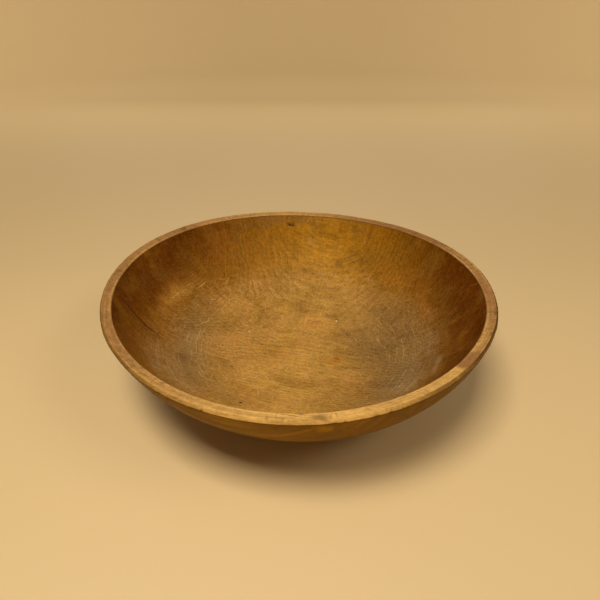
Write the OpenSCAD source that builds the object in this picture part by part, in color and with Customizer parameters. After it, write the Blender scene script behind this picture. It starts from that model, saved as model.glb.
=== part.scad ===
// A large round wooden bowl, worked from one solid blank of wood.
//
// The bowl stands on a flat foot, with the foot's plane at z = 0 and the rim centred on the Z axis.
// The wood has moved a little since it was cut. It shrank across the grain, so the rim is slightly
// oval, and its two ends along the grain stand a little higher than its two sides.

/* [Rim] */
// Mean radius of the rim's outer top edge
rim_r = 254; // [220:1:300]
// Mean height of the rim's outer top edge above the foot's plane
rim_h = 150; // [130:1:180]
// Width of the rim's top face
rim_w = 11.8; // [8:0.1:16]
// How far the top face falls from its outer edge to its inner edge
rim_fall = 3.2; // [0:0.1:5]
// Height of the narrow band around the outside of the rim
band_h = 4; // [2:0.5:8]
// How far the band flares out from its top edge to its bottom edge
band_flare = 2.2; // [0:0.1:4]

/* [Foot] */
// Mean radius of the flat foot
foot_r = 100; // [85:1:120]
// How far the foot's centre lies from the rim's centre, towards +X
foot_shift_x = 8; // [-12:1:12]
// How far the foot's centre lies from the rim's centre, towards +Y
foot_shift_y = 3; // [-12:1:12]

/* [Wall] */
// Thickness of the floor at its centre
floor_t = 18; // [14:1:24]
// Angle at which the outer wall leaves the foot, above the horizontal
foot_angle = 26; // [20:1:35]
// How long the outer wall keeps that angle
foot_reach = 90; // [70:1:110]
// Angle at which both walls meet the rim, above the horizontal
rim_angle = 75; // [70:1:80]
// How long the outer wall keeps the rim's angle
outer_reach = 86; // [70:1:95]
// How long the inner wall keeps the rim's angle
inner_reach = 82; // [70:1:90]
// How long the inside keeps level, from the centre of the floor
floor_reach = 145; // [120:1:155]

/* [Movement of the wood] */
// Direction of the grain, from +X
grain_dir = -14; // [-90:1:90]
// How much longer the rim's radius is along the grain, and shorter across it
oval = 4.7; // [0:0.1:10]
// How much higher the rim is along the grain, and lower across it
saddle = 4.8; // [0:0.1:10]

/* [Smoothness] */
// Number of straight sides around the bowl
sides = 80; // [48:4:96]
// Number of steps up the outer wall
outer_steps = 13; // [8:1:16]
// Number of steps down the inner wall
inner_steps = 15; // [8:1:16]

/* [Hidden] */
wood = [0.70, 0.45, 0.22];
foot_edge = [foot_r, 0];
band_edge = [rim_r + band_flare, rim_h - band_h];
outer_edge = [rim_r, rim_h];
inner_edge = [rim_r - rim_w, rim_h - rim_fall];
floor_middle = [0, floor_t];

// The point at distance d from p, in the direction a
function reach(p, d, a) = p + d * [cos(a), sin(a)];

// The point at the fraction t along the smooth curve from p to q, which leaves p towards
// p_handle and comes into q from q_handle
function curve(p, p_handle, q_handle, q, t) =
    pow(1 - t, 3) * p
    + 3 * pow(1 - t, 2) * t * p_handle
    + 3 * (1 - t) * pow(t, 2) * q_handle
    + pow(t, 3) * q;

// The outside of the wall as [radius, height], from the edge of the foot up to the rim's band
outer_wall = [
    for (i = [0 : outer_steps])
        curve(
            foot_edge,
            reach(foot_edge, foot_reach, foot_angle),
            reach(band_edge, -outer_reach, rim_angle),
            band_edge,
            i / outer_steps
        )
];

// The inside of the wall as [radius, height], from the rim down to the last step before the
// middle of the floor
inner_wall = [
    for (i = [0 : inner_steps - 1])
        curve(
            inner_edge,
            reach(inner_edge, -inner_reach, rim_angle),
            reach(floor_middle, floor_reach, 0),
            floor_middle,
            i / inner_steps
        )
];
profile = concat(outer_wall, [outer_edge], inner_wall);
rings = len(profile);

// Where the wood at [radius, height] and the angle a has moved to. The rise grows with the height
// and with the square of the radius, so the foot stays flat.
function moved(p, a) =
    let (
        along = cos(2 * (a - grain_dir)),
        up = p[1] / rim_h,
        r = p[0] * (1 + oval / rim_r * along),
        rise = saddle * along * up * pow(p[0] / rim_r, 2)
    )
    [
        r * cos(a) + foot_shift_x * (1 - up),
        r * sin(a) + foot_shift_y * (1 - up),
        p[1] + rise
    ];

// The number of the point on ring i at side j
function at(i, j) = i * sides + j % sides;

module bowl() {
    middle = rings * sides;
    points = concat(
        [for (p = profile, j = [0 : sides - 1]) moved(p, 360 * j / sides)],
        [moved(floor_middle, 0)]
    );
    foot = [for (j = [0 : sides - 1]) j];
    rising = [
        for (i = [0 : rings - 2], j = [0 : sides - 1])
            [at(i, j), at(i + 1, j), at(i + 1, j + 1)]
    ];
    falling = [
        for (i = [0 : rings - 2], j = [0 : sides - 1])
            [at(i, j), at(i + 1, j + 1), at(i, j + 1)]
    ];
    floor_fan = [
        for (j = [0 : sides - 1])
            [at(rings - 1, j), middle, at(rings - 1, j + 1)]
    ];
    color(wood)
        polyhedron(points, concat([foot], rising, falling, floor_fan), convexity = 4);
}

bowl();
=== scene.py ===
"""The looks of a large wooden bowl: one mesh of worn, scratched hardwood on a plain studio floor.

The bowl's outline repeats the driving dimensions of the CAD part, in metres. The mesh adds what
years of use did to it: worn edges, chips, a gouge and a slightly uneven surface. The splits, the
scratches and the grain are in the material.
"""
import math

import bpy
import numpy as np
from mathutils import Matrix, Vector, noise


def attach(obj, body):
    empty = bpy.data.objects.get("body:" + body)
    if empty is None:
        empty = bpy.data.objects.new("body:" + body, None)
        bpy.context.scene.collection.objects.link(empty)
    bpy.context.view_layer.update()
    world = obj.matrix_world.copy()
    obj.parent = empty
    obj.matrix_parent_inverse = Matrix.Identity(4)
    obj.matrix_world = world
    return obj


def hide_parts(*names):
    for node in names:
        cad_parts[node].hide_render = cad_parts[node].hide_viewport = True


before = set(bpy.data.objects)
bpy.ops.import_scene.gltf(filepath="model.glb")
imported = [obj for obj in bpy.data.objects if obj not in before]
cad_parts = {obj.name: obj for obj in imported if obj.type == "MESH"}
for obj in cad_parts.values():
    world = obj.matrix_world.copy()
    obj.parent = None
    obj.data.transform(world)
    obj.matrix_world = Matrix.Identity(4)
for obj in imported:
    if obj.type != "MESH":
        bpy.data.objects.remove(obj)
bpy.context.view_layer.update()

# ---------------------------------------------------------------- the bowl's dimensions, in metres
RIM_R, RIM_H = 0.254, 0.150
RIM_W, RIM_FALL = 0.0118, 0.0032
BAND_H, BAND_FLARE = 0.004, 0.0022
FOOT_R = 0.100
FOOT_SHIFT = (0.008, 0.003)
FLOOR_T = 0.018
FOOT_ANGLE, FOOT_REACH = math.radians(26), 0.090
RIM_ANGLE, OUTER_REACH, INNER_REACH = math.radians(75), 0.086, 0.082
FLOOR_REACH = 0.145
GRAIN_DIR = math.radians(-14)
OVAL, SADDLE = 0.0047, 0.0048

# ---------------------------------------------------------------- how fine the mesh is
MAX_SIDES = 1024
RIM_ZONE = (0.006, 0.024)  # rings have all the sides this far below the band and the inner edge
HALVINGS = (0.150, 0.075, 0.037, 0.018)  # inside each of these radii, half as many sides do
FINE_STEP, GOUGE_STEP, WALL_STEP, STEP_GROWTH = 0.00050, 0.0011, 0.0042, 0.19
CURVE_POINTS = 400


# ---------------------------------------------------------------- the outline from foot to floor
def reach(p, distance, angle):
    return p + distance * np.array([math.cos(angle), math.sin(angle)])


def curve(p, p_handle, q_handle, q):
    t = np.linspace(0, 1, CURVE_POINTS)[:, None]
    return (1 - t) ** 3 * p + 3 * (1 - t) ** 2 * t * p_handle + 3 * (1 - t) * t**2 * q_handle + t**3 * q


class Outline:
    """The bowl's section as (radius, height) against s, the distance along it from under the foot."""

    def __init__(self):
        centre = np.array([0.0, 0.0])
        foot = np.array([FOOT_R, 0.0])
        band = np.array([RIM_R + BAND_FLARE, RIM_H - BAND_H])
        outer = np.array([RIM_R, RIM_H])
        inner = np.array([RIM_R - RIM_W, RIM_H - RIM_FALL])
        middle = np.array([0.0, FLOOR_T])
        parts = [
            [centre, foot],
            curve(foot, reach(foot, FOOT_REACH, FOOT_ANGLE), reach(band, -OUTER_REACH, RIM_ANGLE), band),
            [band, outer],
            [outer, inner],
            curve(inner, reach(inner, -INNER_REACH, RIM_ANGLE), reach(middle, FLOOR_REACH, 0), middle),
        ]
        self.points = np.concatenate([np.array(part)[:-1] for part in parts] + [[middle]])
        gaps = np.hypot(*np.diff(self.points, axis=0).T)
        self.s = np.concatenate([[0], np.cumsum(gaps)])
        ends = np.cumsum([len(part) - 1 for part in parts])
        self.foot, self.band, self.outer, self.inner, self.end = self.s[ends]
        self.edges = np.array([self.foot, self.band, self.outer, self.inner])

    def at(self, s):
        return np.stack([np.interp(s, self.s, self.points[:, i]) for i in (0, 1)], -1)

    def rounded(self, s, corner, half):
        """Which points are within half of a corner, and where the rounded outline puts them."""
        t = np.clip((s - corner + half) / (2 * half), 0, 1)[..., None]
        a, c, b = self.at(corner - half), self.at(corner), self.at(corner + half)
        near = (np.abs(s - corner) < half)[..., None]
        return near, (1 - t) ** 2 * a + 2 * t * (1 - t) * c + t**2 * b


outline = Outline()


def moved(rz, angle):
    """Where the wood at (radius, height) and this angle has moved to as it dried."""
    along = np.cos(2 * (angle - GRAIN_DIR))
    up = rz[..., 1] / RIM_H
    r = rz[..., 0] * (1 + OVAL / RIM_R * along)
    rise = SADDLE * along * up * (rz[..., 0] / RIM_R) ** 2
    x = r * np.cos(angle) + FOOT_SHIFT[0] * (1 - up)
    y = r * np.sin(angle) + FOOT_SHIFT[1] * (1 - up)
    return np.stack([x, y, rz[..., 1] + rise], -1)


# ---------------------------------------------------------------- camera, floor and light
CAMERA_PLACE, CAMERA_DOWN = (0.0032, -0.5367, 0.470), math.radians(33.5)
LENS, SENSOR_WIDTH, CLIP_START = 27.04, 36, 0.01
SKY_COLOUR, SKY_STRENGTH = (1.0, 0.94, 0.84, 1), 0.14
LIGHT_COLOUR = (1, 0.98, 0.95)
PAPER_COLOUR, PAPER_ROUGHNESS = (0.60, 0.41, 0.18, 1), 0.6
PAPER_RUN, PAPER_LIFT, PAPER_DROP = 3.4, 2.0, 0.0004  # level radius, radius of the rise, and sink
PAPER_SIDES, PAPER_STEPS = 96, 15

# Soft lights: name, place, target, width and height in metres, and power in watts
LIGHTS = (
    ("main", (-0.25, -0.55, 1.55), (0, 0, 0.1), (0.6, 0.45), 26),
    ("side", (1.5, -0.7, 1.8), (0, 0, 0.1), (0.9, 0.6), 12),
    ("wall_glow", (0, 1.9, 0.9), (0, 0, 0.15), (2.6, 1.2), 5),
)
# The lights on the rising paper: how far out and up they are, how far out and up they aim
PAPER_LIGHT_OUT, PAPER_LIGHT_UP, PAPER_AIM_OUT, PAPER_AIM_UP = 2.2, 2.6, 5, 0.6
PAPER_LIGHT_SIZE, PAPER_LIGHT_POWER = (5.0, 2.0), 80


def add_camera():
    """The view of someone who stands in front of the bowl and looks down into it."""
    data = bpy.data.cameras.new("camera")
    data.lens, data.sensor_width = LENS, SENSOR_WIDTH
    data.clip_start = CLIP_START
    camera = bpy.data.objects.new("camera", data)
    camera.location = CAMERA_PLACE
    camera.rotation_euler = (math.pi / 2 - CAMERA_DOWN, 0, 0)
    bpy.context.scene.collection.objects.link(camera)
    bpy.context.scene.camera = camera


def add_light(name, place, target, size, power):
    data = bpy.data.lights.new(name, "AREA")
    data.shape, data.size, data.size_y = "RECTANGLE", *size
    data.energy, data.color = power, LIGHT_COLOUR
    light = bpy.data.objects.new(name, data)
    light.location = place
    light.rotation_euler = (Vector(target) - Vector(place)).to_track_quat("-Z", "Y").to_euler()
    light.visible_camera = False
    bpy.context.scene.collection.objects.link(light)


def floor_sweep():
    """A round floor that curves up far from the bowl on every side, as studio paper does."""
    turns = [math.pi / 2 * i / PAPER_STEPS for i in range(PAPER_STEPS + 1)]
    section = [(PAPER_RUN + PAPER_LIFT * math.sin(a), PAPER_LIFT * (1 - math.cos(a))) for a in turns]
    around = [2 * math.pi * j / PAPER_SIDES for j in range(PAPER_SIDES)]
    points = [(r * math.cos(a), r * math.sin(a), z - PAPER_DROP) for r, z in section for a in around]
    faces = [tuple(range(PAPER_SIDES))]
    for i in range(PAPER_STEPS):
        inner, outer = i * PAPER_SIDES, (i + 1) * PAPER_SIDES
        for j in range(PAPER_SIDES):
            k = (j + 1) % PAPER_SIDES
            faces.append((inner + k, inner + j, outer + j, outer + k))
    mesh = bpy.data.meshes.new("floor")
    mesh.from_pydata(points, [], faces)
    mesh.polygons.foreach_set("use_smooth", [False] + [True] * (len(faces) - 1))
    return bpy.data.objects.new("floor", mesh)


def add_lights():
    world = bpy.data.worlds.new("studio")
    bpy.context.scene.world = world
    world.use_nodes = True
    background = world.node_tree.nodes["Background"]
    background.inputs["Color"].default_value = SKY_COLOUR
    background.inputs["Strength"].default_value = SKY_STRENGTH
    for row in LIGHTS:
        add_light(*row)
    for x, y in ((0, 1), (1, 0), (0, -1), (-1, 0)):
        place = (PAPER_LIGHT_OUT * x, PAPER_LIGHT_OUT * y, PAPER_LIGHT_UP)
        target = (PAPER_AIM_OUT * x, PAPER_AIM_OUT * y, PAPER_AIM_UP)
        add_light("paper", place, target, PAPER_LIGHT_SIZE, PAPER_LIGHT_POWER)


def add_floor():
    floor = floor_sweep()
    bpy.context.scene.collection.objects.link(floor)
    material = bpy.data.materials.new("floor")
    material.use_nodes = True
    shader = material.node_tree.nodes["Principled BSDF"]
    shader.inputs["Base Color"].default_value = PAPER_COLOUR
    shader.inputs["Roughness"].default_value = PAPER_ROUGHNESS
    floor.data.materials.append(material)


def add_studio():
    add_lights()
    add_floor()
    bpy.context.scene.view_settings.view_transform = "Standard"


# ---------------------------------------------------------------- what years of use did to it, and painted shade, highlights and sheen
# Along the rim, places are angles in degrees from +X. Inside the bowl, places are in millimetres
# from the rim's centre, +X to the right and +Y to the rear.
MM = 0.001
NOISE_SHIFT = (17.3, 5.1, 29.7)  # moves each seed's noise to a part of space of its own
# How far the wall and the rim wave, how long the waves are, and their seeds
WALL_WAVE, WALL_WAVE_SIZE, WALL_WAVE_SEED = 0.00040, 0.060, 2
RIM_WAVE, RIM_WAVE_SIZE, RIM_WAVE_SEED = 0.00028, 0.013, 3
FOOT_BLEND, RIM_BLEND = 0.03, 0.006  # how far the waves take to start and stop

# How far the edges of the foot, the band, the rim's outside and its inside are worn round: on
# average, and how much that changes along them
EDGE_ROUNDINGS = ((0.003, 0), (0.0009, 0.0005), (0.0013, 0.0008), (0.0011, 0.0005))
EDGE_WEAR_SIZE, EDGE_WEAR_SEED, EDGE_WEAR_RANGE = 0.03, 1, (-0.6, 1)
SLOPE_STEP = 0.002  # the outline's direction is taken over this far each way

CHIPPED_ARCS = ((-88, -58, 7), (-48, -8, 12), (100, 260, 9))  # from, to and how many chips
CHIP_SEED, CHIP_REACH = 11, 0.0022
TOP_CHIPS = 0.4  # the share of the chips on the rim's outer top edge, the rest being on the band's
CHIP_HALF_LENGTHS, CHIP_DEPTHS = (0.0015, 0.004), (0.0002, 0.0006)
GOUGE_ANGLE, GOUGE_DROP, GOUGE_TILT = 93.5, 0.019, 0.18  # GOUGE_DROP is from the inner edge
GOUGE_SIZE, GOUGE_DEPTH = (0.0078, 0.0024), 0.0022
HOLLOW_SLOPE = 1.4  # over 1, so that a hollow has a flat middle

WORN_RADIUS, WORN_SOFTNESS = 0.178, 0.056
WARP, WARP_SIZE, WARP_SEEDS = 0.006, 0.022, (5, 6)  # how far the patches' outlines wander
TONE_WARP = 0.02  # how far the rim's tones wander, in radians

# How softly the kinds of surface meet, in metres along the outline
INSIDE_FADE, BAND_FADE, FACE_FADE, UNDER_FADE = 0.0008, 0.0006, 0.0010, (-0.004, 0.002)

# Lines around the rim: offset from an edge, half-width, strength
# The first three are painted shade: on the top of the steep inner wall, under the band, and along part of
# the outer edge
INNER_EDGE_SHADE, UNDER_BAND_SHADE, OUTER_EDGE_SHADE = (0.0004, 0.0008, 1.0), (-0.0010, 0.0009, 0.8), (-0.0006, 0.0011, 1.2)
# Pale lines along the rim's inner and outer edges: worn wood and painted highlights
INNER_LIP_WEAR_AND_HIGHLIGHT, OUTER_LIP_WEAR_AND_HIGHLIGHT = (-0.0020, 0.0010, 1.0), (0.0014, 0.0010, 0.8)
# A darker colour in the chips and the gouge: its strength in the chips, and the depths over which it comes
# in
CHIP_DARKENING, CHIP_DARKENING_DEPTHS, GOUGE_DARKENING_DEPTHS = 0.3, (0.0001, 0.0004), (0.0005, 0.0011)

# How pale the rim's top face and its band are, from 0 for dark brown to 1 for bright gold
RIM_TONES = (
    (-180, 0.22), (-150, 0.18), (-130, 0.42), (-112, 0.70), (-90, 0.86), (-72, 0.80), (-46.8, 0.72),
    (-45.9, 0.06), (-40, 0.14), (-38, 0.44), (-22, 0.40), (-15, 0.20), (-2, 0.20), (5, 0.34), (18, 0.30),
    (28, 0.06), (60, 0.14), (76, 0.45), (95, 0.62), (125, 0.55), (140, 0.36), (155, 0.34), (180, 0.22),
)
BAND_TONES = (
    (-180, 0.05), (-150, 0.22), (-125, 0.42), (-100, 0.85), (-72, 0.80), (-58, 0.35), (-44, 0.14),
    (0, 0.06), (60, 0.10), (100, 0.25), (150, 0.10), (180, 0.05),
)

# How red the rim's top face is
RIM_REDS = (
    (-180, 0.35), (-120, 0.30), (-105, 0.05), (-47, 0.05), (-45.9, 0.85), (-40, 0.70), (-38, 0.15),
    (-22, 0.20), (-15, 0.60), (-2, 0.50), (6, 0.15), (18, 0.15), (30, 0.60), (60, 0.55), (80, 0.20),
    (110, 0.30), (135, 0.70), (155, 0.60), (180, 0.35),
)

# Nicks and cracks on the rim: angle, distance from its outer edge, half-length, half-width, strength
NICKS = (
    (-88.8, 0.0012, 0.0070, 0.0012, 0.35),
    (-84.0, 0.0010, 0.0050, 0.0010, 0.30),
    (-96.5, 0.0020, 0.0012, 0.0030, 0.45),
    (-94.6, 0.0075, 0.0010, 0.0040, 0.35),
    (-93.0, 0.0015, 0.0011, 0.0025, 0.40),
    (-82.6, 0.0035, 0.0014, 0.0030, 0.55),
    (-81.2, 0.0060, 0.0010, 0.0035, 0.40),
    (-74.0, 0.0080, 0.0012, 0.0030, 0.35),
    (-66.0, 0.0030, 0.0011, 0.0035, 0.30),
    (-108.0, 0.0040, 0.0011, 0.0040, 0.30),
    (-20.0, 0.0020, 0.0030, 0.0020, 0.70),
    (-30.0, 0.0015, 0.0040, 0.0014, 0.60),
    (140.0, 0.0060, 0.0050, 0.0040, 0.60),
    (152.0, 0.0050, 0.0040, 0.0040, 0.50),
    (168.0, 0.0070, 0.0025, 0.0030, 0.45),
    (176.0, 0.0060, 0.0040, 0.0035, 0.40),
)

# Painted shade along the rim's outer edge starts between the first angles and stops between the others
OUTER_SHADE_START, OUTER_SHADE_STOP = (-50, -36), (0, 12)

# Marks on the rim: angle, distance along the outline from its outer edge, half-length and half-width
KNOT = (-85.2, 0.0038, 0.0080, 0.0044)
WORN_PATCH = (-84.0, -0.0155, 0.0080, 0.0065)

# Marks inside: kind, middle (x, y), half-length, half-width, turn in degrees, strength
PATCHES = (
    # The first pale patch, on the rear wall, is a painted sheen
    ("pale_and_sheen", (-12, 152), 36, 13, 0, 0.55),
    ("pale_and_sheen", (26, 221), 11, 5, 0, 0.50),
    ("pale_and_sheen", (95, -20), 40, 7, 14, 0.30),
    ("pale_and_sheen", (-115, 85), 38, 12, 55, 0.35),
    ("dark", (-32, 142), 6, 5, 0, 0.40),
    ("dark", (88, -46), 46, 2.6, -9, 0.60),
    ("dark", (25, 72), 17, 2.4, 0, 0.45),
    ("dark", (147, 117), 15, 8, -25, 0.40),
    ("dark", (126, 196), 17, 8, -35, 0.35),
    ("dark", (128, 160), 40, 20, -50, 0.22),
    ("dark", (-160, -55), 15, 9, 60, 0.45),
    ("dark", (-200, 95), 16, 46, -30, 0.50),
    ("dark", (-218, -34), 26, 9, -14, 0.60),
    ("dark", (-130, 62), 13, 22, -20, 0.25),
    ("dark", (70, -85), 30, 10, 20, 0.22),
    ("red", (57, -25), 11, 9, 0, 0.75),
    ("red", (25, 68), 26, 9, 0, 0.45),
    ("red", (-35, -5), 45, 22, -10, 0.30),
    ("red", (-125, 190), 50, 20, 35, 0.28),
    ("red", (-196, 62), 14, 50, -6, 0.45),
    ("pale_and_sheen", (-186, 78), 9, 34, -28, 0.30),
    ("red", (160, 130), 16, 34, 30, 0.35),
    ("red", (196, 45), 10, 42, 0, 0.50),
)

# Bands that curve with the bowl: kind, radius, angle, half-width, half-length, strength
ARCS = (
    ("dust", 166, 182, 24, 96, 0.75),
    ("dust", 166, 216, 32, 62, 0.42),
    ("dust", 120, 176, 20, 60, 0.25),
    ("dust", 154, 0, 46, 100, 1.0),
    ("dust", 96, 4, 30, 62, 0.55),
    ("dust", 155, 322, 26, 62, 0.50),
    ("veil", 170, 328, 24, 60, 0.34),
    ("veil", 203, 332, 4, 24, 0.55),
    ("veil", 184, 320, 12, 34, 0.45),
    ("veil", 196, 349, 8, 34, 0.30),
    ("veil", 198, 212, 20, 54, 0.48),
    ("veil", 202, 268, 30, 120, 0.25),
    ("veil", 152, 190, 16, 60, 0.22),
    ("pale_and_sheen", 205, 165, 10, 62, 0.26),
    ("dust", 237, 95, 4, 110, 0.45),
    ("dark", 233, 172, 9, 70, 0.40),
    ("dark", 230, 10, 12, 80, 0.42),
    ("dark", 214, 48, 16, 60, 0.16),
    ("dust", 200, 255, 14, 70, 0.25),
)

# Splits along the grain, in millimetres: place across it, from and to along it, half-width
SPLITS = ((-81, -234, -174, 1.5), (-236, 38, 66, 0.35), (-232, 50, 72, 0.30))

# Longer light scratches inside: middle (x, y), direction in degrees, half-length, bend, half-width
SCRATCHES = (
    ((-124, -90), -22, 21, 0.060, 0.9),
    ((-112, -53), -65, 9, 0.010, 0.7),
    ((-120, -29), -9, 27, -0.002, 0.6),
    ((-162, 109), 60, 14, 0.003, 0.7),
    ((-194, 64), 69, 13, 0.004, 0.7),
    ((-70, -64), -15, 16, 0.020, 0.7),
    ((-40, 30), 24, 14, -0.012, 0.6),
    ((-150, 36), 51, 21, 0.004, 0.7),
    ((-97, 41), 33, 8, 0.010, 0.8),
    ((-53, -100), -80, 19, 0.004, 0.7),
    ((92, 20), -74, 10, 0.006, 0.7),
)

# Small flecks inside: (x, y), radius in millimetres, and whether it is light
FLECKS = (((64, 71), 1.7, True), ((-78, 42), 1.1, True), ((-60, 58), 0.9, True), ((-72, -133), 2.8, False))


def soft_noise(points, size, seed):
    """Smooth noise from about -1 to 1 at each point, with features of this size."""
    offset = Vector([seed * shift for shift in NOISE_SHIFT])
    return np.array([noise.noise(Vector(point) / size + offset) for point in points.tolist()])


def smooth(value, low, high):
    """0 below low, 1 above high, and a smooth step between them."""
    t = np.clip((value - low) / (high - low), 0, 1)
    return t * t * (3 - 2 * t)


def turn_from(angle, degrees):
    """How far an angle is from a place on the rim, in radians from -pi to pi."""
    return (angle - math.radians(degrees) + math.pi) % (2 * math.pi) - math.pi


def chip_list():
    """Chips off the two outer edges: (angle, place on the outline, half-length, depth)."""
    rng = np.random.default_rng(CHIP_SEED)
    chips = []
    for start, end, count in CHIPPED_ARCS:
        for _ in range(count):
            edge = outline.outer if rng.random() < TOP_CHIPS else outline.band
            degrees = rng.uniform(start, end)
            half_length = rng.uniform(*CHIP_HALF_LENGTHS)
            chips.append((degrees, edge, half_length, rng.uniform(*CHIP_DEPTHS)))
    return chips


def hollow(q, depth):
    """The depth of a hollow where q is 0 in its middle and 1 at its edge."""
    return depth * np.clip(HOLLOW_SLOPE * (1 - q), 0, 1)


def hollows(s, angle):
    """How deep the chips and the gouge go at each point."""
    depth = np.zeros_like(s)
    for degrees, edge, half_length, chip_depth in chip_list():
        q = (turn_from(angle, degrees) * RIM_R / half_length) ** 2 + ((s - edge) / CHIP_REACH) ** 2
        depth = np.maximum(depth, hollow(q, chip_depth))
    along, down = GOUGE_SIZE
    arc = turn_from(angle, GOUGE_ANGLE) * RIM_R
    drop = s - outline.inner - GOUGE_DROP + GOUGE_TILT * arc
    q = (arc / along) ** 2 + (drop / down) ** 2
    return np.maximum(depth, hollow(q, GOUGE_DEPTH))


# ---------------------------------------------------------------- the bowl's mesh
def ring_stations():
    """The rings' places along the outline: close together at the edges, wider on the walls."""
    stations, s = [], WALL_STEP
    while s < outline.end - WALL_STEP:
        stations.append(s)
        by_edge = FINE_STEP + STEP_GROWTH * np.abs(outline.edges - s).min()
        by_gouge = GOUGE_STEP + 2 * STEP_GROWTH * abs(outline.inner + GOUGE_DROP - s)
        s += min(WALL_STEP, by_edge, by_gouge)
    return np.array(stations)


def sides_at(s):
    """How many sides a ring has: the most near the rim, and fewer towards the two middles."""
    if outline.band - RIM_ZONE[0] < s < outline.inner + RIM_ZONE[1]:
        return MAX_SIDES
    radius = outline.at(np.array([s]))[0, 0]
    return MAX_SIDES >> (1 + sum(radius < limit for limit in HALVINGS))


def stitch(faces, lower, upper):
    """Joins two rings, given as (first vertex, count). The counts are equal, or one is double."""
    (a, n), (b, m) = lower, upper
    if n == m:
        faces += [(a + j, a + (j + 1) % n, b + (j + 1) % n, b + j) for j in range(n)]
    elif n == 2 * m:
        for j in range(m):
            left, mid, right = a + 2 * j, a + 2 * j + 1, a + (2 * j + 2) % n
            here, after = b + j, b + (j + 1) % m
            faces += [(left, mid, here), (mid, after, here), (mid, right, after)]
    else:
        for j in range(n):
            left, mid, right = b + 2 * j, b + 2 * j + 1, b + (2 * j + 2) % m
            here, after = a + j, a + (j + 1) % n
            faces += [(here, mid, left), (here, after, mid), (after, right, mid)]


def rounded_outline(s, ring_points):
    """The outline with its edges worn round, here more and there less."""
    wear = np.clip(soft_noise(ring_points, EDGE_WEAR_SIZE, EDGE_WEAR_SEED), *EDGE_WEAR_RANGE)
    rz = outline.at(s)
    for corner, (mean, change) in zip(outline.edges, EDGE_ROUNDINGS):
        near, curved = outline.rounded(s, corner, mean + change * wear)
        rz = np.where(near, curved, rz)
    return rz


def outward(s):
    """The outline's outward direction at each point."""
    run = outline.at(s + SLOPE_STEP) - outline.at(s - SLOPE_STEP)
    run /= np.maximum(np.hypot(run[:, 0], run[:, 1]), 1e-9)[:, None]
    return np.stack([run[:, 1], -run[:, 0]], -1)


def bowl_surface(s, angle):
    """Where the wood is at a distance s along the outline and an angle around the bowl."""
    around = np.stack([RIM_R * np.cos(angle), RIM_R * np.sin(angle), 0 * s], -1)
    ideal = moved(outline.at(s), angle)
    rz = rounded_outline(s, around)
    off_foot = smooth(s, outline.foot, outline.foot + FOOT_BLEND)
    on_rim = smooth(s, outline.band - RIM_BLEND, outline.band)
    on_rim = on_rim * (1 - smooth(s, outline.inner, outline.inner + RIM_BLEND))
    wave = WALL_WAVE * soft_noise(ideal, WALL_WAVE_SIZE, WALL_WAVE_SEED) * (1 - on_rim)
    ripple = RIM_WAVE * soft_noise(ideal, RIM_WAVE_SIZE, RIM_WAVE_SEED) * on_rim
    depth = hollows(s, angle)
    rz = rz + outward(s) * (off_foot * (wave + ripple) - depth)[:, None]
    return moved(rz, angle), depth


def bowl_faces(counts):
    """The faces between rings with these numbers of sides, and a fan at each of the two middles."""
    starts = np.concatenate([[0], np.cumsum(counts)]).tolist()
    rings = list(zip(starts, counts))
    faces = []
    for lower, upper in zip(rings, rings[1:]):
        stitch(faces, lower, upper)
    under, middle = starts[-1], starts[-1] + 1
    first, last = rings[0], rings[-1]
    faces += [(under, first[0] + (j + 1) % first[1], first[0] + j) for j in range(first[1])]
    faces += [(middle, last[0] + j, last[0] + (j + 1) % last[1]) for j in range(last[1])]
    return faces


def build_bowl():
    stations = ring_stations()
    counts = [sides_at(place) for place in stations]
    s = np.concatenate([np.full(n, place) for place, n in zip(stations, counts)] + [[0.0, outline.end]])
    angle = np.concatenate([np.arange(n) * 2 * math.pi / n for n in counts] + [[0.0, 0.0]])
    points, depth = bowl_surface(s, angle)
    faces = bowl_faces(counts)
    mesh = bpy.data.meshes.new("bowl_wood")
    mesh.from_pydata(points.tolist(), [], faces)
    mesh.polygons.foreach_set("use_smooth", [True] * len(faces))
    for name, values in surface_masks(s, angle, points, depth).items():
        mesh.attributes.new(name, "FLOAT", "POINT").data.foreach_set("value", values.astype(np.float32))
    mesh.update()
    bowl = bpy.data.objects.new("bowl_wood", mesh)
    bpy.context.scene.collection.objects.link(bowl)
    return bowl


# ---------------------------------------------------------------- where each kind of surface is
def tones_at(angle, tones):
    degrees, values = zip(*tones)
    return np.interp((np.degrees(angle) + 180) % 360 - 180, degrees, values)


def patch_mask(points, middle, half_long, half_wide, turn):
    """1 in the middle of an oval patch, fading away from it."""
    x, y = points[:, 0] - middle[0] * MM, points[:, 1] - middle[1] * MM
    c, d = math.cos(math.radians(turn)), math.sin(math.radians(turn))
    q = ((c * x + d * y) / (half_long * MM)) ** 2 + ((c * y - d * x) / (half_wide * MM)) ** 2
    return np.exp(-q)


def arc_mask(points, radius, degrees, half_wide, half_long):
    """1 in the middle of a band that curves with the bowl, fading away from it."""
    away = np.hypot(points[:, 0], points[:, 1]) - radius * MM
    along = turn_from(np.arctan2(points[:, 1], points[:, 0]), degrees) * radius * MM
    return np.exp(-((away / (half_wide * MM)) ** 2) - (along / (half_long * MM)) ** 2)


def rim_mark(s, angle, degrees, offset, half_long, half_wide):
    """1 in the middle of a mark on the rim, with a firmer edge than a patch has."""
    along = turn_from(angle, degrees) * RIM_R / half_long
    across = (s - outline.outer - offset) / half_wide
    return np.exp(-(along**4) - across**4)


def edge_line(s, edge, offset, half_wide, strength):
    """A line around the bowl beside one of the outline's edges."""
    return strength * np.exp(-(((s - edge - offset) / half_wide) ** 2))


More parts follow.
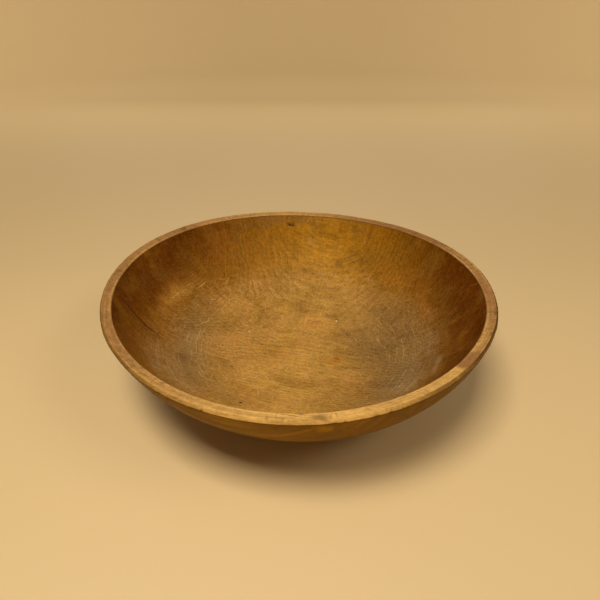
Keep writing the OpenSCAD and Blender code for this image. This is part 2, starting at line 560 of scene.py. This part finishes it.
def edge_shade_and_hollows_mask(s, angle, depth):
    """Painted shade along the rim's edges, and a darker colour in the chips and the gouge."""
    degrees = (np.degrees(angle) + 180) % 360 - 180
    outer_shade_span = smooth(degrees, *OUTER_SHADE_START) * (1 - smooth(degrees, *OUTER_SHADE_STOP))
    # Painted shade: on the top of the steep inner wall, under the band, and along part of the outer edge
    dark_marks_and_shade = edge_line(s, outline.inner, *INNER_EDGE_SHADE)
    dark_marks_and_shade += edge_line(s, outline.band, *UNDER_BAND_SHADE)
    dark_marks_and_shade += outer_shade_span * edge_line(s, outline.outer, *OUTER_EDGE_SHADE)
    dark_marks_and_shade += CHIP_DARKENING * smooth(depth, *CHIP_DARKENING_DEPTHS)
    dark_marks_and_shade += smooth(depth, *GOUGE_DARKENING_DEPTHS)
    return np.clip(dark_marks_and_shade, 0, 1)


def surface_masks(s, angle, points, depth):
    """One number for each point and each kind of surface, from 0 for none to 1 for all of it."""
    warp = np.stack([soft_noise(points, WARP_SIZE, seed) for seed in WARP_SEEDS] + [0 * s], -1)
    warped = points + WARP * warp
    radius = np.hypot(warped[:, 0], warped[:, 1])
    inside = smooth(s, outline.inner - INSIDE_FADE, outline.inner + INSIDE_FADE)
    on_band = smooth(s, outline.band - BAND_FADE, outline.band + BAND_FADE)
    on_face = smooth(s, outline.outer - FACE_FADE, outline.outer + FACE_FADE)
    masks = {
        "inside": inside,
        "rim": on_face * (1 - inside),
        "band": on_band * (1 - on_face),
        "under": 1 - smooth(s, *(outline.foot + np.array(UNDER_FADE))),
        "worn": inside * (1 - smooth(radius, WORN_RADIUS - WORN_SOFTNESS, WORN_RADIUS + WORN_SOFTNESS)),
        "dark_marks_and_shade": edge_shade_and_hollows_mask(s, angle, depth),
        "rim_tone": tones_at(angle + TONE_WARP * warp[:, 0], RIM_TONES),
        "rim_red": tones_at(angle + TONE_WARP * warp[:, 1], RIM_REDS),
        "band_tone": tones_at(angle, BAND_TONES),
        "lip_wear_and_highlight": edge_line(s, outline.inner, *INNER_LIP_WEAR_AND_HIGHLIGHT) + edge_line(s, outline.outer, *OUTER_LIP_WEAR_AND_HIGHLIGHT),
        "nicks": np.max([strength * rim_mark(s, angle, *nick) for *nick, strength in NICKS], axis=0),
        "knot": rim_mark(s, angle, *KNOT),
        "worn_patch": rim_mark(s, angle, *WORN_PATCH),
    }
    masks.update({kind: 0 * s for kind in ("pale_and_sheen", "dark", "red", "dust", "veil")})
    for kind, middle, half_long, half_wide, turn, strength in PATCHES:
        masks[kind] += strength * inside * patch_mask(warped, middle, half_long, half_wide, turn)
    for kind, middle, degrees, half_wide, half_long, strength in ARCS:
        masks[kind] += strength * inside * arc_mask(warped, middle, degrees, half_wide, half_long)
    return masks


# ---------------------------------------------------------------- the wood
# Colours are linear.
COLOURS = {
    "worn": (0.385, 0.195, 0.033),
    "rosy": (0.385, 0.160, 0.036),
    "wall": (0.365, 0.156, 0.0055),
    "end_grain": (0.105, 0.027, 0.0),
    "stain": (0.200, 0.084, 0.0060),
    "dust": (0.170, 0.088, 0.024),
    "veil": (0.320, 0.220, 0.105),
    # Pale marks in the wood, and a painted sheen on the rear wall
    "pale_and_sheen": (0.400, 0.205, 0.036),
    "dark": (0.110, 0.036, 0.004),
    "red": (0.330, 0.105, 0.006),
    "rim_dark": (0.185, 0.084, 0.023),
    "rim_pale": (0.505, 0.272, 0.067),
    "band_dark": (0.105, 0.048, 0.0060),
    "rim_red": (0.235, 0.097, 0.029),
    "outside": (0.202, 0.101, 0.0),
    "outside_pale": (0.345, 0.172, 0.0040),
    "foot": (0.300, 0.150, 0.040),
    # For the dark fleck, the darker chips and gouge, and the painted shade along the rim's edges
    "dark_marks_and_shade": (0.045, 0.018, 0.004),
    "split": (0.055, 0.011, 0.001),
    "scratch": (0.520, 0.300, 0.085),
    "fleck": (0.75, 0.62, 0.42),
}
PITH = (0.060, 0.165)  # across the grain and up, where the tree's middle lay
RING_WIDTH, RING_WOBBLE, RING_SHADE = 0.0036, 0.012, -0.24

# Noise patterns: the frame they lie in, feature sizes along its axes in metres, detail and seed
PATTERNS = {
    "ring_wobble": ("grain", (0.22, 0.05, 0.05), 2, 1),
    "fibre": ("grain", (0.022, 0.0011, 0.0011), 3, 2),
    "streak": ("grain", (0.10, 0.0042, 0.05), 4, 3),
    "mottle": ("place", (0.009, 0.009, 0.009), 3, 4),
    "curl": ("grain", (0.006, 0.028, 0.028), 2, 5),
    "cloud": ("place", (0.06, 0.06, 0.06), 2, 6),
    "sweep": ("around", (0.0012, 0.012, 0.012), 2, 7),
    "handled": ("around", (0.003, 0.03, 0.03), 3, 8),
    "split_wander": ("grain", (0.012, 0.012, 0.012), 2, 9),
    "speckle": ("place", (0.0032, 0.0032, 0.0032), 2, 10),
    "blotch": ("grain", (0.050, 0.030, 0.030), 3, 11),
    "hue": ("place", (0.035, 0.035, 0.035), 3, 12),
    "radial": ("outwards", (0.05, 0.0032, 0.0032), 3, 13),
    "creases": ("around", (0.0015, 0.007, 0.007), 2, 14),
    "spots": ("place", (0.0055, 0.0055, 0.0055), 2, 15),
}
PATTERN_SHIFT, STROKE_SHIFT = (7.1, 3.7, 5.3), (3.3, 1.9, 0)  # times the seed, to part the patterns
AROUND_SCALE, OUTWARDS_SCALE = 0.04, 0.2  # metres of pattern for a turn of one radian

# How strongly the patterns lighten and darken the wood and the rim, and lift the surface in metres
FIGURE = (
    ("fibre", 0.95),
    ("streak", 0.34),
    ("mottle", 0.50),
    ("speckle", 0.66),
    ("curl", 0.36),
    ("cloud", 0.60),
)
RADIAL_FIGURE = 0.40  # inside only
RIM_PATTERNS = (("handled", 0.5), ("mottle", 0.4), ("creases", 0.9), ("streak", 0.25))
RELIEF = (("fibre", 0.00008), ("mottle", 0.00025), ("cloud", 0.0008))
MARK_DEPTHS = {"scratches": 0.00010, "sweeps": 0.00003, "splits": 0.0006}

# Short scratches: cell, half-length, half-width, share of the cells, seed and strength
STROKES = (
    (0.013, 0.006, 0.00060, 0.75, 1, 1.0),
    (0.024, 0.011, 0.00065, 0.70, 2, 1.0),
    (0.007, 0.0034, 0.00060, 0.85, 3, 0.5),
    (0.050, 0.022, 0.00060, 0.60, 4, 0.8),
    (0.010, 0.0048, 0.00060, 0.80, 5, 0.45),
)
SPLIT_TAPER, SPLIT_WANDER = 12, 0.003  # how long each end fades, in mm, and how far it strays, in m
# The share of each mark's half-width or half-length, from its middle, that doesn't fade
LINE_CORE, STROKE_CORE, SCRATCH_CORE, FLECK_CORE = 0.3, 0.5, 0.4, 0.5

# Smooth steps: where each starts and stops, and what it gives there if that isn't 0 and 1
STEPS = {
    "worn": (0.10, 0.85),
    "dust": (-0.10, 0.95),
    "red": (0.0, 1.0),
    "dark": (0.0, 1.2),
    "sweeps": (0.60, 0.72),
    "veil_sweep": (0.38, 0.66, 0.35, 1.35),
    "scratch_wear": (0.0, 1.0, 0.15, 1.0),
    "scratch_cloud": (0.35, 0.65, 0.35, 1.0),
    "scratch_dust": (0.15, 0.8, 1.0, 0.5),
    "long_scratch": (0.3, 0.55, 0.45, 1.0),
    "split_height": (0.045, 0.06),
    "end_grain": (0.3, 0.7, 1.1, 1.35),
    "rosy": (0.35, 0.70),
    "stain": (0.44, 0.74, 0.0, 0.50),
    "outside_streak": (0.45, 0.75, 0.0, 0.6),
    "tone": (-0.1, 1.1),
    "lip_wear_and_highlight": (0.35, 0.65, 0.05, 0.28),
    "rim_red": (0.35, 0.6, 0.5, 1.0),
    "rim_spots": (0.53, 0.66, 0.0, 0.60),
    "spots_on_pale": (0.4, 0.8, 1.0, 0.15),
    "ring": (0.2, 1.0),
    "ring_curl": (0.3, 0.7),
    "roughness": (0.3, 0.7, 0.46, 0.60),
}
EDGE_RAGGEDNESS = 0.9
RAGGED = {"worn": 1.0, "dust": 0.6, "red": 0.3, "dark": 0.4}  # shares of it, for each kind of patch

# How much of each colour its mask brings in
AMOUNTS = {
    "rosy": 0.4,
    "pale_and_sheen": 0.9,
    "dust": 0.75,
    "veil": 0.75,
    "outside_end": 0.55,
    "knot": 0.62,
    "worn_patch": 0.90,
    "scratches": 0.62,
    "sweeps": 0.24,
    "dark_marks_and_shade": 0.75,
    "splits": 0.85,
    "flecks": 0.8,
}
BAND_NOISE = 0.4
CONTRAST, EXTRA_CONTRAST_INSIDE, BRIGHTNESS = 0.75, 0.45, 1.05
WORN_ROUGHNESS, SCRATCHED_ROUGHNESS, SPECULAR = 0.06, 0.1, 0.04
BUMP_STRENGTH = 0.8


class Nodes:
    """Short names for the shader nodes that the wood is made from."""

    def __init__(self, tree):
        self.tree = tree

    def new(self, kind):
        return self.tree.nodes.new("ShaderNode" + kind)

    def put(self, socket, value):
        if isinstance(value, bpy.types.NodeSocket):
            self.tree.links.new(value, socket)
        else:
            socket.default_value = value

    def maths(self, operation, a, b=0.0, c=0.0):
        node = self.new("Math")
        node.operation = operation
        for socket, value in zip(node.inputs, (a, b, c)):
            self.put(socket, value)
        return node.outputs[0]

    def times(self, a, b):
        return self.maths("MULTIPLY", a, b)

    def plus(self, a, b):
        return self.maths("ADD", a, b)

    def minus(self, a, b):
        return self.maths("SUBTRACT", a, b)

    def strongest(self, masks):
        total = masks[0]
        for mask in masks[1:]:
            total = self.maths("MAXIMUM", total, mask)
        return total

    def step(self, name, value):
        return self.ramp(value, *STEPS[name])

    def ramp(self, value, low, high, to_low=0.0, to_high=1.0):
        node = self.new("MapRange")
        node.interpolation_type = "SMOOTHSTEP"
        for socket, number in zip(node.inputs, (value, low, high, to_low, to_high)):
            self.put(socket, number)
        return node.outputs[0]

    def mix(self, amount, a, b):
        node = self.new("Mix")
        node.data_type = "RGBA"
        self.put(node.inputs[0], amount)
        self.put(node.inputs[6], a)
        self.put(node.inputs[7], b)
        return node.outputs[2]

    def towards(self, amount, colour, name):
        """A colour, or the named one, mixed with this amount of another named one."""
        if isinstance(colour, str):
            colour = (*COLOURS[colour], 1)
        return self.mix(amount, colour, (*COLOURS[name], 1))

    def vector(self, operation, a, b=(0.0, 0.0, 0.0)):
        node = self.new("VectorMath")
        node.operation = operation
        self.put(node.inputs[0], a)
        self.put(node.inputs[1], b)
        return node.outputs["Value" if operation in ("DOT_PRODUCT", "LENGTH") else "Vector"]

    def shaded(self, colour, amount):
        """A colour made lighter or darker, times this amount."""
        node = self.new("VectorMath")
        node.operation = "SCALE"
        self.put(node.inputs[0], colour)
        self.put(node.inputs["Scale"], amount)
        return node.outputs[0]

    def split(self, vector):
        node = self.new("SeparateXYZ")
        self.put(node.inputs[0], vector)
        return node.outputs

    def join(self, x, y, z):
        node = self.new("CombineXYZ")
        for socket, value in zip(node.inputs, (x, y, z)):
            self.put(socket, value)
        return node.outputs[0]

    def turned(self, vector, angle):
        node = self.new("Mapping")
        self.put(node.inputs["Vector"], vector)
        node.inputs["Rotation"].default_value = (0, 0, angle)
        return node.outputs[0]

    def noise(self, place, sizes, detail, seed):
        """Noise from 0 to 1 whose features have these sizes along the three axes."""
        node = self.new("TexNoise")
        scaled = self.vector("MULTIPLY", place, tuple(1 / size for size in sizes))
        shift = tuple(seed * part for part in PATTERN_SHIFT)
        self.put(node.inputs["Vector"], self.vector("ADD", scaled, shift))
        node.inputs["Scale"].default_value = 1
        node.inputs["Detail"].default_value = detail
        return node.outputs["Fac"]

    def attribute(self, name):
        node = self.new("Attribute")
        node.attribute_name = name
        return node.outputs["Fac"]

    def line(self, value, half_width):
        """1 where a value is 0, fading to 0 this far from it."""
        return self.ramp(self.maths("ABSOLUTE", value), LINE_CORE * half_width, half_width, 1, 0)

    def strokes(self, plan, cell, half_length, half_width, share, seed):
        """Short, slightly curved scratches at random angles, at most one in each cell."""
        node = self.new("TexVoronoi")
        node.voronoi_dimensions = "2D"
        scaled = self.vector("MULTIPLY", plan, (1 / cell, 1 / cell, 0))
        shifted = self.vector("ADD", scaled, tuple(seed * part for part in STROKE_SHIFT))
        self.put(node.inputs["Vector"], shifted)
        node.inputs["Scale"].default_value = 1
        x, y, _ = self.split(self.vector("SUBTRACT", shifted, node.outputs["Position"]))
        turn, bend, chance = self.split(node.outputs["Color"])
        angle = self.times(turn, 2 * math.pi)
        c, d = self.maths("COSINE", angle), self.maths("SINE", angle)
        along = self.plus(self.times(x, c), self.times(y, d))
        across = self.minus(self.times(y, c), self.times(x, d))
        curved = self.plus(across, self.times(self.times(along, along), self.minus(bend, 0.5)))
        far = self.maths("ABSOLUTE", along)
        ends = self.ramp(far, STROKE_CORE * half_length / cell, half_length / cell, 1, 0)
        stroke = self.times(self.line(curved, half_width / cell), ends)
        return self.times(stroke, self.maths("LESS_THAN", chance, share))


class Wood(Nodes):
    """The frames, patterns and wear that every part of the wood's look draws on."""

    def __init__(self, tree):
        super().__init__(tree)
        coordinates = self.new("TexCoord")
        self.frames = self.make_frames(coordinates.outputs["Object"])
        self.patterns = {name: self.pattern(name) for name in PATTERNS}
        grain_axis = (math.cos(GRAIN_DIR), math.sin(GRAIN_DIR), 0)
        along_grain = self.vector("DOT_PRODUCT", coordinates.outputs["Normal"], grain_axis)
        self.end_facing = self.maths("ABSOLUTE", along_grain)
        self.inside = self.attribute("inside")
        self.ragged_edge = self.times(self.centred("mottle"), EDGE_RAGGEDNESS)
        self.worn = self.patch("worn")
        self.dust = self.patch("dust")
        self.sweeps = self.step("sweeps", self.patterns["sweep"])
        self.splits = split_lines(self)
        self.scratches = scratch_mask(self)

    def make_frames(self, place):
        """The places that patterns lie in, such as along the grain or around the bowl."""
        plan = self.vector("MULTIPLY", place, (1, 1, 0))
        x, y, _ = self.split(place)
        radius = self.vector("LENGTH", plan)
        turn_x, turn_y = self.maths("DIVIDE", x, radius), self.maths("DIVIDE", y, radius)
        frames = {"place": place, "plan": plan, "grain": self.turned(place, -GRAIN_DIR)}
        for name, scale in (("around", AROUND_SCALE), ("outwards", OUTWARDS_SCALE)):
            frames[name] = self.join(radius, self.times(turn_x, scale), self.times(turn_y, scale))
        return frames

    def pattern(self, name):
        axes, sizes, detail, seed = PATTERNS[name]
        return self.noise(self.frames[axes], sizes, detail, seed)

    def centred(self, name):
        """A pattern from -0.5 to 0.5."""
        return self.minus(self.patterns[name], 0.5)

    def add_patterns(self, value, rows):
        """A value with named patterns added to it, each centred on 0 and at its own strength."""
        for name, strength in rows:
            value = self.plus(value, self.times(self.centred(name), strength))
        return value

    def patch(self, name):
        """The mask of a kind of patch, with its edge made ragged."""
        ragged = self.plus(self.attribute(name), self.times(self.ragged_edge, RAGGED[name]))
        return self.step(name, ragged)

    def share(self, name, mask):
        return self.times(mask, AMOUNTS[name])


def growth_rings(w):
    """0 to 1 through each year's growth, around a pith that lay above the bowl, along the grain."""
    _, across, up = w.split(w.vector("SUBTRACT", w.frames["grain"], (0, *PITH)))
    distance = w.vector("LENGTH", w.join(0, across, up))
    wavy = w.plus(distance, w.times(w.patterns["ring_wobble"], RING_WOBBLE))
    return w.maths("FRACT", w.maths("DIVIDE", wavy, RING_WIDTH))


def split_lines(w):
    """The splits along the grain, 1 in the middle of each."""
    along, across, up = w.split(w.frames["grain"])
    wander = w.times(w.centred("split_wander"), SPLIT_WANDER)
    lines = []
    for place, start, end, half in SPLITS:
        offset = w.plus(w.minus(across, place * MM), wander)
        first = w.ramp(along, start * MM, (start + SPLIT_TAPER) * MM)
        last = w.ramp(along, (end - SPLIT_TAPER) * MM, end * MM, 1, 0)
        lines.append(w.times(w.line(offset, half * MM), w.times(first, last)))
    return w.times(w.strongest(lines), w.step("split_height", up))


def long_scratches(w):
    """The longer scratches, each along a shallow curve."""
    lines = []
    for (x, y), degrees, half, bend, half_width in SCRATCHES:
        middle = w.vector("SUBTRACT", w.frames["plan"], (x * MM, y * MM, 0))
        along, across, _ = w.split(w.turned(middle, -math.radians(degrees)))
        bow = w.times(w.times(along, along), 0.5 * bend / MM)
        ends = w.ramp(w.maths("ABSOLUTE", along), SCRATCH_CORE * half * MM, half * MM, 1, 0)
        lines.append(w.times(w.line(w.minus(across, bow), half_width * MM), ends))
    return w.times(w.strongest(lines), w.inside)


def scratch_mask(w):
    """All the scratches: many short ones where the bowl is worn, and the few longer ones."""
    layers = [w.times(w.strokes(w.frames["plan"], *row), strength) for *row, strength in STROKES]
    wear = w.step("scratch_wear", w.plus(w.worn, w.attribute("dust")))
    short = w.times(w.times(w.strongest(layers), w.inside), wear)
    thinned = w.times(w.step("scratch_cloud", w.patterns["cloud"]), w.step("scratch_dust", w.dust))
    long = w.times(long_scratches(w), w.step("long_scratch", w.patterns["mottle"]))
    return w.strongest([w.times(short, thinned), long])


def fleck_mask(w, light):
    """The small flecks inside, either the light ones or the dark ones."""
    spots = []
    for (x, y), radius, is_light in FLECKS:
        if is_light == light:
            away = w.vector("LENGTH", w.vector("SUBTRACT", w.frames["plan"], (x * MM, y * MM, 0)))
            spots.append(w.ramp(away, FLECK_CORE * radius * MM, radius * MM, 1, 0))
    return w.times(w.strongest(spots), w.inside)


def inside_colour(w):
    colour = w.towards(w.worn, "wall", "worn")
    end = w.times(w.end_facing, w.step("end_grain", w.patterns["cloud"]))
    colour = w.towards(w.maths("MINIMUM", end, 1.0), colour, "end_grain")
    colour = w.towards(w.patch("red"), colour, "red")
    rosy = w.times(w.step("rosy", w.patterns["hue"]), w.share("rosy", w.worn))
    colour = w.towards(rosy, colour, "rosy")
    colour = w.towards(w.step("stain", w.patterns["blotch"]), colour, "stain")
    # Lighter patches, one of them a painted sheen on the rear wall
    colour = w.towards(w.share("pale_and_sheen", w.attribute("pale_and_sheen")), colour, "pale_and_sheen")
    colour = w.towards(w.share("dust", w.dust), colour, "dust")
    veil = w.times(w.attribute("veil"), w.step("veil_sweep", w.patterns["sweep"]))
    colour = w.towards(w.share("veil", veil), colour, "veil")
    return w.towards(w.patch("dark"), colour, "dark")


def outside_colour(w):
    colour = w.towards(w.step("outside_streak", w.patterns["streak"]), "outside", "outside_pale")
    colour = w.towards(w.share("outside_end", w.end_facing), colour, "end_grain")
    return w.towards(w.attribute("under"), colour, "foot")


def with_rim(w, colour):
    """The colour of the walls, with the rim's top face, its band and the marks on them laid over."""
    handled, mottle = w.patterns["handled"], w.patterns["mottle"]
    tone = w.attribute("rim_tone")
    # The lines along the rim's edges are lighter for wear and for painted highlights
    pattern = w.add_patterns(w.times(w.attribute("lip_wear_and_highlight"), w.step("lip_wear_and_highlight", handled)), RIM_PATTERNS)
    face = w.towards(w.step("tone", w.plus(tone, pattern)), "rim_dark", "rim_pale")
    face = w.towards(w.times(w.attribute("rim_red"), w.step("rim_red", mottle)), face, "rim_red")
    spotted = w.times(w.step("rim_spots", w.patterns["spots"]), w.step("spots_on_pale", tone))
    colour = w.mix(w.attribute("rim"), colour, w.towards(spotted, face, "rim_dark"))
    band_tone = w.plus(w.attribute("band_tone"), w.times(pattern, BAND_NOISE))
    band = w.towards(w.step("tone", band_tone), "band_dark", "rim_pale")
    colour = w.mix(w.attribute("band"), colour, band)
    colour = w.towards(w.share("knot", w.attribute("knot")), colour, "band_dark")
    colour = w.towards(w.attribute("nicks"), colour, "band_dark")
    return w.towards(w.share("worn_patch", w.attribute("worn_patch")), colour, "outside_pale")


def with_figure(w, colour):
    """The colour lightened and darkened by the wood's fibres, streaks, curl and growth rings."""
    curl = w.step("ring_curl", w.patterns["curl"])
    shade = w.times(w.times(w.step("ring", growth_rings(w)), curl), RING_SHADE)
    shade = w.add_patterns(shade, FIGURE)
    shade = w.plus(shade, w.times(w.centred("radial"), w.times(w.inside, RADIAL_FIGURE)))
    shade = w.times(shade, w.plus(w.times(w.inside, EXTRA_CONTRAST_INSIDE), CONTRAST))
    return w.shaded(colour, w.plus(shade, BRIGHTNESS))


def with_marks(w, colour):
    """The colour with the scratches, the painted shade and darker marks along the rim, the splits and the
    flecks laid over it.
    """
    colour = w.towards(w.share("scratches", w.scratches), colour, "scratch")
    swept = w.times(w.times(w.sweeps, w.inside), w.share("sweeps", w.plus(w.worn, w.dust)))
    colour = w.towards(swept, colour, "scratch")
    # Painted shade along the rim's edges, and darker chips and gouge
    colour = w.towards(w.share("dark_marks_and_shade", w.attribute("dark_marks_and_shade")), colour, "dark_marks_and_shade")
    colour = w.towards(w.share("splits", w.splits), colour, "split")
    colour = w.towards(w.share("flecks", fleck_mask(w, True)), colour, "fleck")
    return w.towards(w.share("flecks", fleck_mask(w, False)), colour, "dark_marks_and_shade")


def surface_roughness(w):
    worn = w.times(w.times(w.worn, w.inside), WORN_ROUGHNESS)
    roughness = w.plus(w.step("roughness", w.patterns["mottle"]), worn)
    return w.plus(roughness, w.times(w.scratches, SCRATCHED_ROUGHNESS))


def surface_bump(w):
    """The surface's normal, with the fibres and waves raised and the marks sunk."""
    height = 0.0
    for name, lift in RELIEF:
        height = w.plus(height, w.times(w.patterns[name], lift))
    height = w.minus(height, w.times(w.scratches, MARK_DEPTHS["scratches"]))
    height = w.minus(height, w.times(w.sweeps, MARK_DEPTHS["sweeps"]))
    height = w.minus(height, w.times(w.splits, MARK_DEPTHS["splits"]))
    bump = w.new("Bump")
    bump.inputs["Strength"].default_value = BUMP_STRENGTH
    bump.inputs["Distance"].default_value = 1.0
    w.put(bump.inputs["Height"], height)
    return bump.outputs["Normal"]


def wood_material():
    material = bpy.data.materials.new("bowl_wood")
    material.use_nodes = True
    w = Wood(material.node_tree)
    shader = material.node_tree.nodes["Principled BSDF"]
    walls = w.mix(w.inside, outside_colour(w), inside_colour(w))
    colour = with_marks(w, with_figure(w, with_rim(w, walls)))
    w.put(shader.inputs["Base Color"], colour)
    w.put(shader.inputs["Roughness"], surface_roughness(w))
    w.put(shader.inputs["Normal"], surface_bump(w))
    shader.inputs["Specular IOR Level"].default_value = SPECULAR
    return material


add_camera()
add_studio()
bowl = build_bowl()
bowl.data.materials.append(wood_material())
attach(bowl, "root")
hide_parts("bowl")
